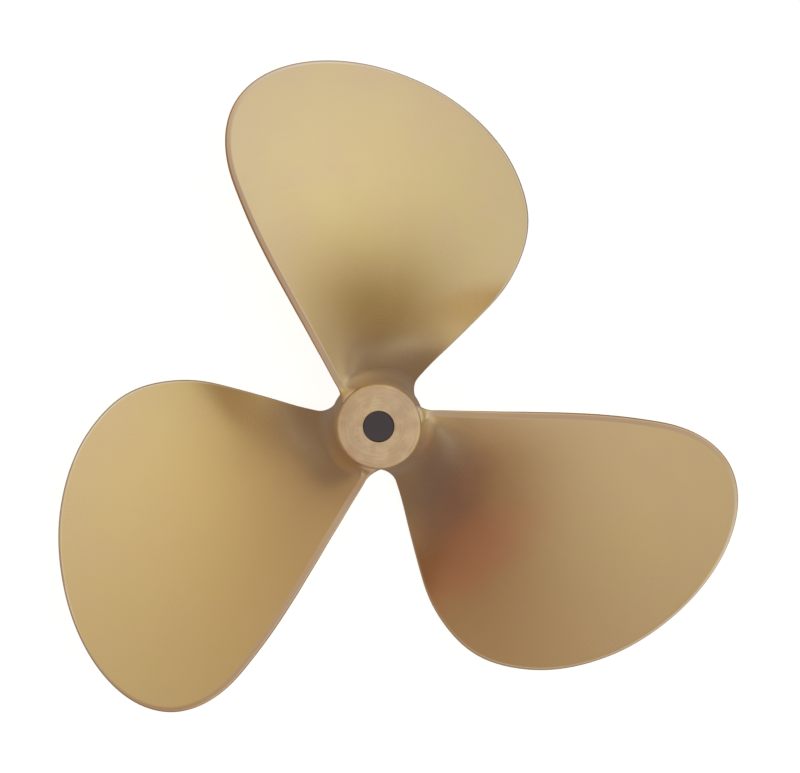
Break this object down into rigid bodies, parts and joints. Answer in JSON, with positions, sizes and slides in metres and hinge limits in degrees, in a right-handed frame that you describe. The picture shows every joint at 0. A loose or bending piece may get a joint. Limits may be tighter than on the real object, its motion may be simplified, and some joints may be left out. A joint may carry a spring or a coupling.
{
  "type": "ship propeller",
  "caption": "Fixed-pitch bronze ship propeller, cast in one piece: broad swept blades on a short hub with a tapered, keyed shaft bore.",
  "frame": {"origin": "on the shaft axis, in the plane of the hub's forward face, which is the face that the part rests on", "axes": "+Z along the shaft axis towards the aft face of the hub; +Y along the generator line of the first blade; seen from +Z it is right-handed and turns clockwise"},
  "size_m": [0.5519, 0.5266, 0.116],
  "materials": {
    "bronze": "satin polished manganese bronze, faces of the hub machined"
  },
  "bodies": {
    "root": {"propeller_casting": "bronze"}
  },
  "joints": []
}
